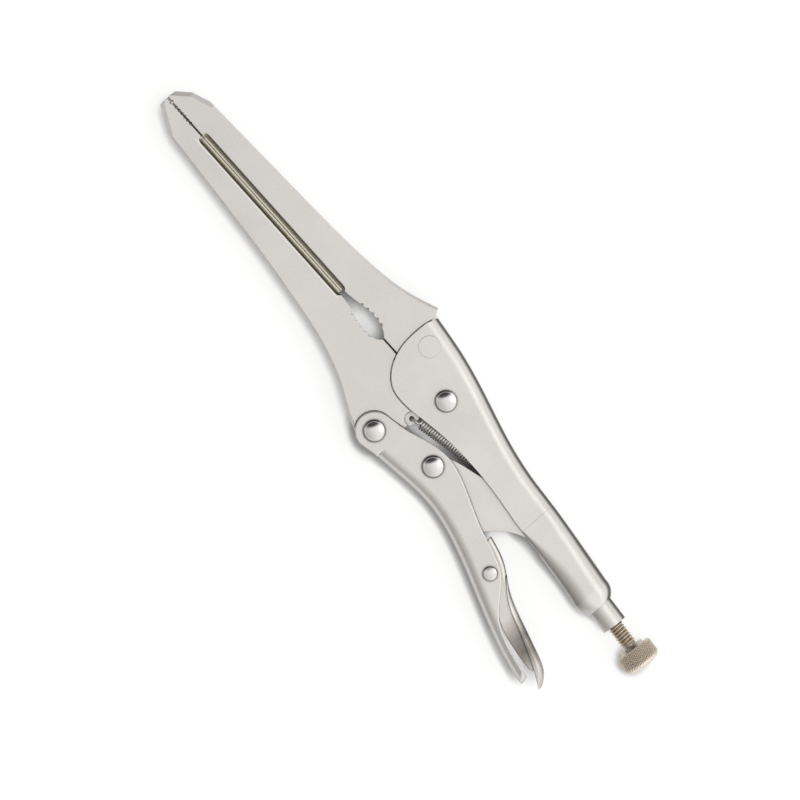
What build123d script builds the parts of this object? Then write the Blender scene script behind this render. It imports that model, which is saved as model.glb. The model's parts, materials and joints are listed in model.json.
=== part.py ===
from build123d import *
import math
import os

# Locking pliers with a long reach nose, in millimetres.
# While modelling, the origin is the jaw pivot, +X runs along the jaw line towards the knob,
# +Y points to the spine of the main handle and z = 0 is the middle plane of the tool.

# Sheet and widths
SHEET = 2.0
CHANNEL = 8.4
NOSE_THICKNESS = 9.4
SIDE_GAP = 0.15
STEP_GAP = 0.4
EDGE_CHAMFER = 0.9
TIP_BEVEL = 1.6
HANDLE_BEND = 5.0
LEVER_BEND = 4.2
TANG_GAP = 0.3

# Pivots
JAW_PIN = (0.0, 0.0)
LUG_PIN = (-9.7, -27.6)
LINK_PIN = (15.1, -20.1)
RELEASE_PIN = (59.5, -31.0)
TANG_PIN = (-19.4, 9.0)
PIN_RADIUS = 3.0
PIN_HEAD_RADIUS = 4.25
PIN_HEAD_HEIGHT = 2.1
HEAD_RIM = 0.7
HEAD_SHOULDER = 0.21
SMALL_PIN_RADIUS = 1.6
SMALL_HEAD_RADIUS = 2.8
SMALL_HEAD_HEIGHT = 1.5
TANG_PIN_RADIUS = 4.25
TANG_PIN_PROUD = 0.12
RUNNING_FIT = 0.05

# Jaws
TIP_X = -155.3
PARTING_Y = -1.9
JAW_GAP = 0.2
TIP_TOP_Y = 1.8
TIP_BOTTOM_Y = -5.8
HUB_RADIUS = 10.0
HUB_GAP = 0.5
LUG_RADIUS = 7.1
LUG_START_ANGLE = 240.0
LUG_END_ANGLE = 395.0
FIXED_TIP_MIDDLE = (-150.6, 6.4)
FIXED_TIP_END = (-143.5, 9.1)
FIXED_BACK = [(-85.0, 11.5), (-55.0, 13.8), (-40.0, 16.8), (-28.3, 21.2)]
FIXED_BACK_END_WAY = (1.0, 0.42)
SHOULDER_FOOT = (-26.2, 18.5)
TANG_REAR_ANGLE = 118.0
MOVING_TIP_END = (-145.0, -11.0)
MOVING_BELLY = [(-100.0, -14.2), (-70.0, -17.2), (-45.0, -21.3), (-30.0, -26.5), (-20.0, -31.2)]
MOVING_REAR = (-2.9, -19.5)
HUB_START_ANGLE = 0.0
HOOK_RECESS_RADIUS = 2.9
HOOK_RECESS_ANGLE = 75.0
HOOK_WEB = 1.8
HOOK_WEB_LIP = 0.9
HOOK_HOLE_RADIUS = 1.0

# Groove, pipe grip and teeth between the jaws
SLOT_FRONT_X = -136.5
SLOT_REAR_X = -56.0
SLOT_GAP = 2.0
SLOT_BEVEL = 1.3
SLOT_DEPTH = 2.6
PARTING_GROOVE = 0.45
GRIP_FRONT_X = -57.5
GRIP_REAR_X = -33.0
GRIP_UPPER = [(-47.0, 0.7), (-41.0, 1.2), (-36.5, 0.4)]
GRIP_LOWER = [(-36.5, -4.5), (-41.0, -4.8), (-47.0, -4.2), (-52.0, -3.2)]
GRIP_TOOTH_X = -48.2
GRIP_TOOTH_PITCH = 2.6
GRIP_TEETH = 5
GRIP_TOOTH_HALF = 0.85
TIP_TOOTH_X = -142.3
TIP_TOOTH_PITCH = 1.62
TIP_TEETH = 6
TIP_TOOTH_HALF = 0.7
TIP_NOTCH_X = -153.0
TIP_NOTCH_HALF = 0.95

# Main handle: spine from the shoulder to the tail, tongue and lower edge
SPINE = [(-25.5, 18.7), (-10.0, 16.7), (10.0, 12.2), (30.0, 7.1), (45.0, 4.8)]
SPINE_START_WAY = (1.0, -0.12)
TAIL_START = (56.0, 3.95)
TONGUE = [(-12.0, -12.4), (-17.5, -11.3), (-22.0, -7.8), (-25.2, -2.5), (-26.9, 5.0), (-26.8, 13.0)]
TONGUE_END_WAY = (0.25, 1.0)
LOWER_EDGE = [(54.0, -11.2), (40.0, -9.6), (27.0, -8.8), (10.0, -9.5), (-4.0, -11.7)]
TAIL_START_BOTTOM = -11.3
TAIL_STEP = 0.06
TAIL_LEAST_CORNER = 0.3
# Each tail section: place along X, top, bottom and corner radii above and below
TAIL_SECTIONS = [(66.0, 3.0, -12.3, 5.2, 3.0), (79.0, 1.5, -14.0, 5.8, 5.8), (90.5, 0.1, -15.7, 6.1, 6.1)]
TAIL_END_SECTION = (95.0, -1.3, -14.7, 5.6, 5.6)
TAIL_END_DRAW = 0.5
TAIL_SEAM = 3.2
TAIL_MOUTH_X = 66.0
SPRING_TAB = 1.6
SPRING_TAB_LIP = 0.6
SPRING_TAB_LENGTH = 3.2

# Adjusting screw
NECK_CENTRE = (101.0, -8.6)
SCREW_SLOPE = -4.5
NECK_RADIUS = 5.0
NECK_LENGTH = 9.0
NECK_STEP = 0.4
NECK_FLAT = 0.05
THREAD_RADIUS = 3.175
THREAD_PITCH = 1.27
THREAD_DEPTH = 0.69
THREAD_ROOT_SHARE = 0.14
THREAD_CREST_SHARE = 0.12
THREAD_STRETCH = 12
THREAD_RUN_IN = 0.6
THREAD_FIT = 0.08
SCREW_TIP_CHAMFER = 0.8
KNOB_GAP = 10.0
KNOB_RADIUS = 7.5
KNOB_LENGTH = 9.5
KNOB_DOME = 1.6
KNOB_CHAMFER = 0.9
KNOB_COLLAR_RADIUS = 4.8
KNOB_COLLAR = 1.2
KNOB_SPIGOT_RADIUS = 2.4
KNOB_SPIGOT = 6.0
KNURLS = 30
KNURL_DEPTH = 0.55
STOP_RING_RADIUS = 3.9
STOP_RING_LENGTH = 2.0
STOP_RING_INSET = 1.5

# Toggle link
LINK_BOSS = 6.0
LINK_NOSE = 3.4
LINK_TIP_GAP = 1.6
LINK_TOP_ANGLE = 100.0
LINK_NOSE_END_ANGLE = -70.0
LINK_BOSS_END_ANGLE = 265.0
LINK_TOP_WAY = (1.0, 0.15)
LINK_TOP = [(20.0, -12.3), (28.0, -9.9), (42.0, -5.6)]
LINK_REAR = [(59.8, -11.4), (52.3, -15.6), (47.0, -21.2)]
LINK_HEEL = (45.8, -22.6)

# Lever handle
EAR_RADIUS = 7.3
EAR_TOP_ANGLE = 105.0
EAR_LOW_ANGLE = 270.0
LEVER_TOP = [(-4.0, -19.0), (6.0, -15.6), (17.0, -13.6), (28.0, -16.0), (45.0, -22.3), (59.0, -26.3)]
LEVER_SCOOP = [(66.0, -31.2), (75.0, -40.2), (82.0, -43.4), (98.5, -46.9)]
EAR_TOP_WAY = (1.0, 0.27)
LEVER_TOP_END_WAY = (1.0, -0.36)
LEVER_TAIL_WAY = (1.0, -0.2)
LEVER_SPINE_START = (-2.0, -33.2)
LEVER_SPINE = [(10.0, -31.7), (24.0, -30.7), (40.0, -33.2), (60.0, -39.6), (80.0, -46.3), (98.6, -50.2)]
LEVER_END_RADIUS = 5.5

# Release lever
RELEASE_WIDTH = 6.4
RELEASE_SHEET = 1.6
RELEASE_BEND = 1.4
RELEASE_TOP = [(49.3, -21.3), (60.0, -24.3), (69.0, -29.5), (80.0, -33.6), (95.0, -38.0), (104.4, -45.0)]
RELEASE_NOSE_WAY = (1.0, -0.2)
RELEASE_TIP_WAY = (0.55, -1.0)
RELEASE_TIP = (103.7, -45.7)
RELEASE_UNDER = (98.4, -43.2)
RELEASE_WALL = [(96.4, -44.2), (88.0, -43.4), (80.0, -41.9), (73.0, -39.4), (66.0, -35.2)]
PAD_WIDTH = 10.0
PAD_BEND = 2.4
PAD_EDGE = [(62.0, -24.0), (70.0, -31.6), (75.0, -34.4), (82.0, -36.9), (90.0, -39.8), (106.0, -47.5)]
RELEASE_PAW = (50.2, -26.6)
RELEASE_BOSS = 4.2
RELEASE_BOSS_START = 305.0
RELEASE_BOSS_END = 215.0

# Jaw spring
WIRE = 0.9
COIL_RADIUS = 2.2
COIL_PITCH = 1.45
COIL_TURNS = 19.5
HOOK_BEND = 0.95
HOOK_REACH = 0.7
HOOK_TAIL = 1.0
HOOK_CENTRE = (-3.7, -14.1)
SPRING_SLOPE = 12.5

TOUCH = 0.001
OVERRUN = 1.0
SEARCH_STEPS = 20
WIRE_SAMPLES = 6
HANDLE_WIDTH = CHANNEL + 2 * SHEET
MOVING_THICKNESS = CHANNEL - 2 * SIDE_GAP
FIXED_EDGE_Y = PARTING_Y + JAW_GAP / 2
MOVING_EDGE_Y = PARTING_Y - JAW_GAP / 2


def polar(centre, radius, degrees):
    """Point at an angle round a centre."""
    turn = math.radians(degrees)
    return (centre[0] + radius * math.cos(turn), centre[1] + radius * math.sin(turn))


def arc_round(centre, radius, start, end):
    """Arc round a centre, from one angle to another."""
    places = [polar(centre, radius, angle) for angle in (start, (start + end) / 2, end)]
    return ThreePointArc(*places)


def outline(*pieces):
    """Face inside a closed chain of lines and curves."""
    return make_face([edge for piece in pieces for edge in piece.edges()])


def slab(face, thickness):
    """Plate of a face, centred on the middle plane."""
    return extrude(face, amount=thickness / 2, both=True)


def side_slabs(face, inner, outer):
    """The two plates of a face that lie between an inner and an outer width."""
    return slab(face, outer) - slab(face, inner)


def moved_right(points, distance):
    """Points of an edge, each moved square to it, to the right of its direction."""
    moved = []
    for index, (x, y) in enumerate(points):
        before = points[max(index - 1, 0)]
        after = points[min(index + 1, len(points) - 1)]
        length = math.dist(before, after)
        along = ((after[0] - before[0]) / length, (after[1] - before[1]) / length)
        moved.append((x + along[1] * distance, y - along[0] * distance))
    return moved


def side_edges(solid, curves, width):
    """Edges on the two flat sides of a plate that lie over given curves."""
    chosen = []
    for edge in solid.edges():
        middle = edge @ 0.5
        if abs(abs(middle.Z) - width / 2) < TOUCH:
            flat = Vector(middle.X, middle.Y, 0)
            if min(curve.distance_to(flat) for curve in curves) < TOUCH:
                chosen.append(edge)
    return chosen


# Places that follow from the driving dimensions
screw_turn = math.radians(SCREW_SLOPE)
screw_along = Vector(math.cos(screw_turn), math.sin(screw_turn), 0)
link_along = Vector(LINK_PIN[0] - LUG_PIN[0], LINK_PIN[1] - LUG_PIN[1], 0).normalized()


def dead_centre():
    """Point of the screw's axis that lies in line with the lug pin and the link pin."""
    to_neck = Vector(NECK_CENTRE[0] - LINK_PIN[0], NECK_CENTRE[1] - LINK_PIN[1], 0)
    across = link_along.X * screw_along.Y - link_along.Y * screw_along.X
    reach = (to_neck.X * screw_along.Y - to_neck.Y * screw_along.X) / across
    return (LINK_PIN[0] + link_along.X * reach, LINK_PIN[1] + link_along.Y * reach)


LINK_NOSE_CENTRE = dead_centre()


def screw_plane(distance):
    """Plane square to the screw, at a distance along its axis from the middle of the neck."""
    origin = Vector(NECK_CENTRE[0], NECK_CENTRE[1], 0) + screw_along * distance
    return Plane(origin=origin, x_dir=(0, 0, 1), z_dir=screw_along)


SCREW_TIP = LINK_NOSE + LINK_TIP_GAP - math.dist(NECK_CENTRE, LINK_NOSE_CENTRE)
NECK_START = -NECK_LENGTH / 2
NECK_END = NECK_LENGTH / 2
KNOB_START = NECK_END + KNOB_GAP


def rod(radius, start, end):
    """Round bar on the screw's axis."""
    return extrude(screw_plane(start) * Circle(radius), amount=end - start)


def handle_cover():
    """Region that the handle's side plates cover, with a gap in front of the tongue and below."""
    edge = moved_right(LOWER_EDGE + TONGUE + [SPINE[0]], -STEP_GAP)
    above = (SPINE[0][0], SPINE[0][1] + HANDLE_WIDTH)
    return outline(Spline(*edge), Polyline(edge[-1], above, (edge[0][0], above[1]), edge[0]))


def lever_cover():
    """Region that the lever's ears cover, with a gap round them."""
    ear = arc_round(LUG_PIN, EAR_RADIUS + STEP_GAP, EAR_LOW_ANGLE, EAR_TOP_ANGLE)
    top = [tuple(ear @ 1)[:2]] + moved_right(LEVER_TOP, -STEP_GAP)
    below = (ear @ 0).Y - HANDLE_WIDTH
    return outline(
        ear,
        Spline(*top),
        Polyline(top[-1], (top[-1][0], below), ((ear @ 0).X, below), tuple(ear @ 0)[:2]),
    )


def handle_spine():
    """Top edge of the main handle, up to its tail."""
    tail_way = (TAIL_SECTIONS[0][0] - TAIL_START[0], TAIL_SECTIONS[0][1] - TAIL_START[1])
    return Spline(*SPINE, TAIL_START, tangents=[SPINE_START_WAY, tail_way])


def handle_face():
    """Side view of the front part of the main handle."""
    tail_low = (TAIL_START[0], TAIL_START_BOTTOM)
    level = (-1, 0)
    return outline(
        handle_spine(),
        Line(TAIL_START, tail_low),
        Spline(tail_low, *LOWER_EDGE, TONGUE[0], tangents=[level, level]),
        Spline(*TONGUE, SPINE[0], tangents=[level, TONGUE_END_WAY]),
    )


def handle_hollow(depth):
    """Room inside the handle's channel, from a depth under its spine downwards."""
    inner = Spline(*moved_right(SPINE + [TAIL_START], depth))
    start = inner @ 0
    end = inner @ 1
    lead_in = Line(start - (inner % 0) * SHEET, start)
    lead_out = Line(end, end + (inner % 1) * OVERRUN)
    below = start.Y - 3 * HANDLE_WIDTH
    face = outline(
        lead_in,
        inner,
        lead_out,
        Polyline(lead_out @ 1, ((lead_out @ 1).X, below, 0), ((lead_in @ 0).X, below, 0), lead_in @ 0),
    )
    hollow = slab(face, CHANNEL)
    return fillet(side_edges(hollow, [lead_in, inner, lead_out], CHANNEL), HANDLE_BEND - SHEET)


def tail_section(x, top, bottom, top_corner, bottom_corner, half_width, inset):
    """Rounded section of the tail, square to X, drawn in from the outside by an inset."""
    half = half_width - inset
    high = top - inset
    low = bottom + inset
    upper = max(top_corner - inset, TAIL_LEAST_CORNER)
    lower = max(bottom_corner - inset, TAIL_LEAST_CORNER)
    bend = math.sqrt(0.5)

    def at(y, z):
        return Vector(x, y, z)

    def corner(y, z, radius, y_sign, z_sign):
        """Rounded corner whose arc centre is y, z."""
        return (at(y + y_sign * radius, z), at(y + y_sign * radius * bend, z + z_sign * radius * bend),
                at(y, z + z_sign * radius))

    top_right = corner(high - upper, half - upper, upper, 1, 1)
    low_right = corner(low + lower, half - lower, lower, -1, 1)
    low_left = corner(low + lower, lower - half, lower, -1, -1)
    top_left = corner(high - upper, upper - half, upper, 1, -1)
    return make_face([
        ThreePointArc(*top_right),
        Line(top_right[2], low_right[2]),
        ThreePointArc(*reversed(low_right)),
        Line(low_right[0], low_left[0]),
        ThreePointArc(*low_left),
        Line(low_left[2], top_left[2]),
        ThreePointArc(*reversed(top_left)),
        Line(top_left[0], top_right[0]),
    ])


def tail_solid(inset):
    """Tail of the main handle from its front section to the start of its shoulder."""
    first = tail_section(*TAIL_START, TAIL_START_BOTTOM, HANDLE_BEND, TAIL_LEAST_CORNER,
                         HANDLE_WIDTH / 2, inset - TAIL_STEP)
    sections = [tail_section(*values, HANDLE_WIDTH / 2, inset) for values in TAIL_SECTIONS]
    return loft([first] + sections)


def tail_shoulder():
    """Rounded end of the tail, drawn in to the neck."""
    last = tail_section(*TAIL_SECTIONS[-1], HANDLE_WIDTH / 2, 0)
    middle = tail_section(*TAIL_END_SECTION, HANDLE_WIDTH / 2 - TAIL_END_DRAW, 0)
    neck_x = NECK_CENTRE[0] + screw_along.X * NECK_START
    neck_y = NECK_CENTRE[1] + screw_along.Y * NECK_START
    collar = NECK_RADIUS + NECK_STEP
    corner = collar - NECK_FLAT
    neck = tail_section(neck_x, neck_y + collar, neck_y - collar, corner, corner, collar, 0)
    return loft([last, middle, neck])


def main_handle():
    """Pressed channel with a closed, rounded tail and a tubular neck for the screw."""
    shell = slab(handle_face(), HANDLE_WIDTH)
    shell = fillet(side_edges(shell, [handle_spine()], HANDLE_WIDTH), HANDLE_BEND)
    body = shell + tail_solid(0) + tail_shoulder() + rod(NECK_RADIUS, NECK_START - OVERRUN, NECK_END)
    body -= handle_hollow(SHEET)
    body -= tail_solid(SHEET)
    mouth_length = TAIL_MOUTH_X - TAIL_START[0]
    mouth = Box(mouth_length, CHANNEL, CHANNEL)
    body -= Pos(TAIL_START[0] + mouth_length / 2, TAIL_START_BOTTOM - OVERRUN, 0) * mouth
    seam_end = TAIL_SECTIONS[-1][0]
    seam_length = seam_end - TAIL_START[0]
    seam = Box(seam_length, CHANNEL, TAIL_SEAM)
    body -= Pos(TAIL_START[0] + seam_length / 2, TAIL_SECTIONS[-1][2] + OVERRUN, 0) * seam
    body -= rod(THREAD_RADIUS + THREAD_FIT, NECK_START - 3 * NECK_LENGTH, NECK_END + OVERRUN)
    for pin, radius in [(JAW_PIN, PIN_RADIUS), (TANG_PIN, TANG_PIN_RADIUS)]:
        body -= Pos(*pin) * Cylinder(radius, 2 * HANDLE_WIDTH)
    return body + spring_tab()


def spring_frame():
    """Plane of the spring: its x runs along the coil from the front hook, its z is the tool's z."""
    origin = (HOOK_CENTRE[0], HOOK_CENTRE[1], 0)
    turn = math.radians(SPRING_SLOPE)
    return Plane(origin=origin, x_dir=(math.cos(turn), math.sin(turn), 0), z_dir=(0, 0, 1))


HOOK_LENGTH = COIL_RADIUS + HOOK_REACH + HOOK_BEND
SPRING_LENGTH = 2 * HOOK_LENGTH + COIL_TURNS * COIL_PITCH
REAR_HOOK = spring_frame().from_local_coords(Vector(SPRING_LENGTH, 0, 0))


def spring_tab():
    """Flat tab under the spine with a hole for the spring's rear hook."""
    top = point_at(handle_spine(), REAR_HOOK.X)[1] - SHEET / 2
    low = REAR_HOOK.Y - HOOK_HOLE_RADIUS - SPRING_TAB_LIP
    left = REAR_HOOK.X - HOOK_HOLE_RADIUS - SPRING_TAB_LIP
    plate = Box(SPRING_TAB_LENGTH, top - low, SPRING_TAB)
    tab = Pos(left + SPRING_TAB_LENGTH / 2, (top + low) / 2) * plate
    return tab - Pos(REAR_HOOK.X, REAR_HOOK.Y) * Cylinder(HOOK_HOLE_RADIUS, 2 * SPRING_TAB)


def square_teeth(places, half):
    """Upright square bars, standing on edge, that cut V-shaped teeth."""
    side = half * math.sqrt(2)
    bar = Rot(0, 0, 45) * Box(side, side, 2 * NOSE_THICKNESS)
    return [Pos(x, y) * bar for x, y in places]


def jaw_cutters():
    """Everything that is cut along the parting line, from both jaws alike."""
    length = SLOT_REAR_X - SLOT_FRONT_X
    middle = Pos((SLOT_REAR_X + SLOT_FRONT_X) / 2, PARTING_Y)
    mouth = SLOT_GAP + 2 * SLOT_BEVEL
    groove = Box(length - 2 * SLOT_BEVEL, SLOT_GAP, SLOT_DEPTH)
    line_side = PARTING_GROOVE * math.sqrt(2)
    line = Rot(45, 0, 0) * Box(2 * OVERRUN - TIP_X, line_side, line_side)
    cutters = []
    for side in (1, -1):
        face = Pos(0, 0, side * NOSE_THICKNESS / 2) * middle * SlotOverall(length, mouth)
        cutters.append(extrude(face, amount=SLOT_BEVEL, dir=(0, 0, -side), taper=45))
        cutters.append(Pos(0, 0, side * (NOSE_THICKNESS - SLOT_DEPTH) / 2) * middle * groove)
        cutters.append(Pos(TIP_X / 2, PARTING_Y, side * NOSE_THICKNESS / 2) * line)
    front_top = (GRIP_FRONT_X, PARTING_Y + SLOT_GAP / 2)
    front_low = (GRIP_FRONT_X, PARTING_Y - SLOT_GAP / 2)
    rear = (GRIP_REAR_X, PARTING_Y)
    upper = Spline(front_top, *GRIP_UPPER, rear)
    lower = Spline(rear, *GRIP_LOWER, front_low)
    cutters.append(slab(outline(upper, lower, Line(front_low, front_top)), 2 * NOSE_THICKNESS))
    for index in range(GRIP_TEETH):
        x = GRIP_TOOTH_X + index * GRIP_TOOTH_PITCH
        cutters += square_teeth([point_at(upper, x), point_at(lower, x)], GRIP_TOOTH_HALF)
    tips = [(TIP_TOOTH_X - index * TIP_TOOTH_PITCH, PARTING_Y) for index in range(TIP_TEETH)]
    cutters += square_teeth(tips, TIP_TOOTH_HALF)
    cutters += square_teeth([(TIP_NOTCH_X, PARTING_Y)], TIP_NOTCH_HALF)
    return cutters


def point_at(curve, x):
    """Point of a curve at a given x, found by stepping along its length."""
    start = (curve @ 0).X
    span = (curve @ 1).X - start
    share = (x - start) / span
    for _ in range(SEARCH_STEPS):
        share = min(max(share + (x - (curve @ share).X) / span, 0), 1)
    point = curve @ share
    return (point.X, point.Y)


def fixed_jaw_back():
    """Outer edge of the fixed jaw from its tip to its shoulder."""
    rise = (FIXED_BACK[0][0] - FIXED_TIP_END[0], FIXED_BACK[0][1] - FIXED_TIP_END[1])
    return [
        Line((TIP_X, TIP_TOP_Y), FIXED_TIP_MIDDLE),
        Line(FIXED_TIP_MIDDLE, FIXED_TIP_END),
        Line(FIXED_TIP_END, FIXED_BACK[0]),
        Spline(*FIXED_BACK, tangents=[rise, FIXED_BACK_END_WAY]),
    ]


def fixed_jaw_face():
    """Side view of the fixed jaw with its tang."""
    tang_top = [point for point in moved_right(SPINE, SHEET / 2) if point[0] < -HUB_RADIUS / 2]
    tang_rear = polar(JAW_PIN, HUB_RADIUS + HUB_GAP, TANG_REAR_ANGLE)
    drop = math.degrees(math.asin(-FIXED_EDGE_Y / (HUB_RADIUS + HUB_GAP)))
    hub_arc = arc_round(JAW_PIN, HUB_RADIUS + HUB_GAP, TANG_REAR_ANGLE, 180 + drop)
    return outline(
        Line((TIP_X, FIXED_EDGE_Y), (TIP_X, TIP_TOP_Y)),
        *fixed_jaw_back(),
        Polyline(FIXED_BACK[-1], SHOULDER_FOOT, *tang_top, tang_rear),
        hub_arc,
        Line(hub_arc @ 1, (TIP_X, FIXED_EDGE_Y)),
    )


def fixed_jaw(handle_cut, cutters):
    """Long fixed nose whose thinner tang sits between the handle's side plates."""
    jaw = slab(fixed_jaw_face(), NOSE_THICKNESS)
    tip_edges = fixed_jaw_back()[:2]
    long_edges = fixed_jaw_back()[2:]
    jaw = chamfer(side_edges(jaw, long_edges, NOSE_THICKNESS), EDGE_CHAMFER)
    jaw = chamfer(side_edges(jaw, tip_edges, NOSE_THICKNESS), TIP_BEVEL)
    jaw -= slab(handle_cut, 2 * NOSE_THICKNESS) - handle_hollow(SHEET + TANG_GAP)
    jaw -= Pos(*TANG_PIN) * Cylinder(TANG_PIN_RADIUS, 2 * NOSE_THICKNESS)
    for cutter in cutters:
        jaw -= cutter
    return jaw


def moving_jaw_belly():
    """Outer edge of the moving jaw from its tip to its lug."""
    lug_start = polar(LUG_PIN, LUG_RADIUS, LUG_START_ANGLE)
    lug_way = (-math.sin(math.radians(LUG_START_ANGLE)), math.cos(math.radians(LUG_START_ANGLE)))
    drop = (MOVING_BELLY[0][0] - MOVING_TIP_END[0], MOVING_BELLY[0][1] - MOVING_TIP_END[1])
    return [
        Line((TIP_X, TIP_BOTTOM_Y), MOVING_TIP_END),
        Line(MOVING_TIP_END, MOVING_BELLY[0]),
        Spline(*MOVING_BELLY, lug_start, tangents=[drop, lug_way]),
    ]


def moving_jaw_face():
    """Side view of the moving jaw: nose, hub and lug."""
    lug_arc = arc_round(LUG_PIN, LUG_RADIUS, LUG_START_ANGLE, LUG_END_ANGLE)
    drop = math.degrees(math.asin(-MOVING_EDGE_Y / HUB_RADIUS))
    hub_arc = arc_round(JAW_PIN, HUB_RADIUS, HUB_START_ANGLE, 180 + drop)
    recess = arc_round(HOOK_CENTRE, HOOK_RECESS_RADIUS, 360 - HOOK_RECESS_ANGLE, HOOK_RECESS_ANGLE)
    return outline(
        Line((TIP_X, MOVING_EDGE_Y), (TIP_X, TIP_BOTTOM_Y)),
        *moving_jaw_belly(),
        lug_arc,
        Polyline(lug_arc @ 1, MOVING_REAR, recess @ 0),
        recess,
        Line(recess @ 1, hub_arc @ 0),
        hub_arc,
        Line(hub_arc @ 1, (TIP_X, MOVING_EDGE_Y)),
    )


def hook_web():
    """Thin web in the moving jaw's recess, with an edge that the spring's hook goes round."""
    web = Pos(*HOOK_CENTRE) * Cylinder(HOOK_RECESS_RADIUS, HOOK_WEB)
    edge = HOOK_HOLE_RADIUS + HOOK_WEB_LIP
    beyond = 2 * HOOK_RECESS_RADIUS
    rear = Box(beyond, 2 * beyond, 2 * HOOK_WEB)
    return web - Pos(HOOK_CENTRE[0] + edge + beyond / 2, HOOK_CENTRE[1]) * rear


def moving_jaw(handle_cut, lever_cut, cutters):
    """Long moving nose with a round hub, a lug for the lever and a web for the spring's hook."""
    jaw = slab(moving_jaw_face(), NOSE_THICKNESS)
    jaw = chamfer(side_edges(jaw, moving_jaw_belly()[1:], NOSE_THICKNESS), EDGE_CHAMFER)
    jaw = chamfer(side_edges(jaw, moving_jaw_belly()[:1], NOSE_THICKNESS), TIP_BEVEL)
    jaw -= side_slabs(handle_cut, MOVING_THICKNESS, 2 * NOSE_THICKNESS)
    jaw -= side_slabs(lever_cut, MOVING_THICKNESS, 2 * NOSE_THICKNESS)
    for cutter in cutters:
        jaw -= cutter
    jaw += hook_web()
    jaw -= Pos(*HOOK_CENTRE) * Cylinder(HOOK_HOLE_RADIUS, 2 * NOSE_THICKNESS)
    for pin in (JAW_PIN, LUG_PIN):
        jaw -= Pos(*pin) * Cylinder(PIN_RADIUS + RUNNING_FIT, 2 * NOSE_THICKNESS)
    return jaw


def lever_face():
    """Side view of the lever down to below its back: round ear, humped top edge and scooped tail."""
    ear = arc_round(LUG_PIN, EAR_RADIUS, EAR_LOW_ANGLE, EAR_TOP_ANGLE)
    rear_x = LEVER_SPINE[-1][0]
    below = LEVER_SPINE[-1][1] - OVERRUN
    return outline(
        ear,
        Spline(ear @ 1, *LEVER_TOP, tangents=[EAR_TOP_WAY, LEVER_TOP_END_WAY]),
        Spline(LEVER_TOP[-1], *LEVER_SCOOP, tangents=[LEVER_TOP_END_WAY, LEVER_TAIL_WAY]),
        Polyline(LEVER_SCOOP[-1], (rear_x, below), (LEVER_SPINE_START[0], below), LEVER_SPINE_START),
        Line(LEVER_SPINE_START, ear @ 0),
    )


def lever_block(depth, width, bend):
    """Tall block over the lever's back, from a depth inside it upwards, with bent lower edges."""
    back = Spline(*moved_right([LEVER_SPINE_START] + LEVER_SPINE, -depth))
    lead_in = Line(back @ 0 - (back % 0) * OVERRUN, back @ 0)
    lead_out = Line(back @ 1, back @ 1 + (back % 1) * (2 * SHEET))
    above = (back @ 0).Y + 6 * HANDLE_WIDTH
    over = Polyline(lead_out @ 1, ((lead_out @ 1).X, above, 0), ((lead_in @ 0).X, above, 0), lead_in @ 0)
    block = slab(outline(lead_in, back, lead_out, over), width)
    return fillet(side_edges(block, [lead_in, back, lead_out], width), bend)


def lever_handle():
    """Pressed channel that is squeezed, with flat ears at the lug and a shallow rounded tail."""
    reach = 4 * EAR_RADIUS
    front = Pos(LEVER_SPINE_START[0] - reach / 2, LUG_PIN[1])
    block = lever_block(0, HANDLE_WIDTH, LEVER_BEND) + front * Box(reach, reach, HANDLE_WIDTH)
    lever = slab(lever_face(), 2 * HANDLE_WIDTH) & block
    lever -= lever_block(SHEET, CHANNEL, LEVER_BEND - SHEET)
    lever -= front * Box(reach, reach, CHANNEL)
    for pin, radius in [(LUG_PIN, PIN_RADIUS), (LINK_PIN, PIN_RADIUS), (RELEASE_PIN, SMALL_PIN_RADIUS)]:
        lever -= Pos(*pin) * Cylinder(radius, 2 * HANDLE_WIDTH)
    return lever - lever_end_cut()


def lever_end_cut():
    """Corners that are taken off so that the lever's end is round from below."""
    last = Vector(*LEVER_SPINE[-1])
    along = (last - Vector(*LEVER_SPINE[-2])).normalized()
    square = Vector(-along.Y, along.X, 0)
    half = HANDLE_WIDTH / 2
    centre = last - along * LEVER_END_RADIUS
    plane = Plane(origin=centre - square * HANDLE_WIDTH, x_dir=along, z_dir=square)
    block = Pos(2 * half, 0) * Rectangle(4 * half, 4 * half)
    keep = Ellipse(LEVER_END_RADIUS, half)
    return extrude(plane * (block - keep), amount=3 * HANDLE_WIDTH)


def toggle_link():
    """Broad link between the lever and the screw."""
    nose_top = polar(LINK_NOSE_CENTRE, LINK_NOSE, LINK_TOP_ANGLE)
    nose_low = polar(LINK_NOSE_CENTRE, LINK_NOSE, LINK_NOSE_END_ANGLE)
    boss_top = polar(LINK_PIN, LINK_BOSS, LINK_TOP_ANGLE)
    boss_low = polar(LINK_PIN, LINK_BOSS, LINK_BOSS_END_ANGLE)
    face = outline(
        Spline(boss_top, *LINK_TOP, nose_top, tangents=[LINK_TOP_WAY, LINK_TOP_WAY]),
        arc_round(LINK_NOSE_CENTRE, LINK_NOSE, LINK_TOP_ANGLE, LINK_NOSE_END_ANGLE),
        Line(nose_low, LINK_REAR[0]),
        ThreePointArc(*LINK_REAR),
        Polyline(LINK_REAR[-1], LINK_HEEL, boss_low),
        arc_round(LINK_PIN, LINK_BOSS, LINK_BOSS_END_ANGLE, LINK_TOP_ANGLE),
    )
    return slab(face, MOVING_THICKNESS) - Pos(*LINK_PIN) * Cylinder(PIN_RADIUS + RUNNING_FIT, 2 * CHANNEL)


def release_top():
    """Upper edge of the release lever from its nose to its tip."""
    return Spline(*RELEASE_TOP, tangents=[RELEASE_NOSE_WAY, RELEASE_TIP_WAY])


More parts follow.
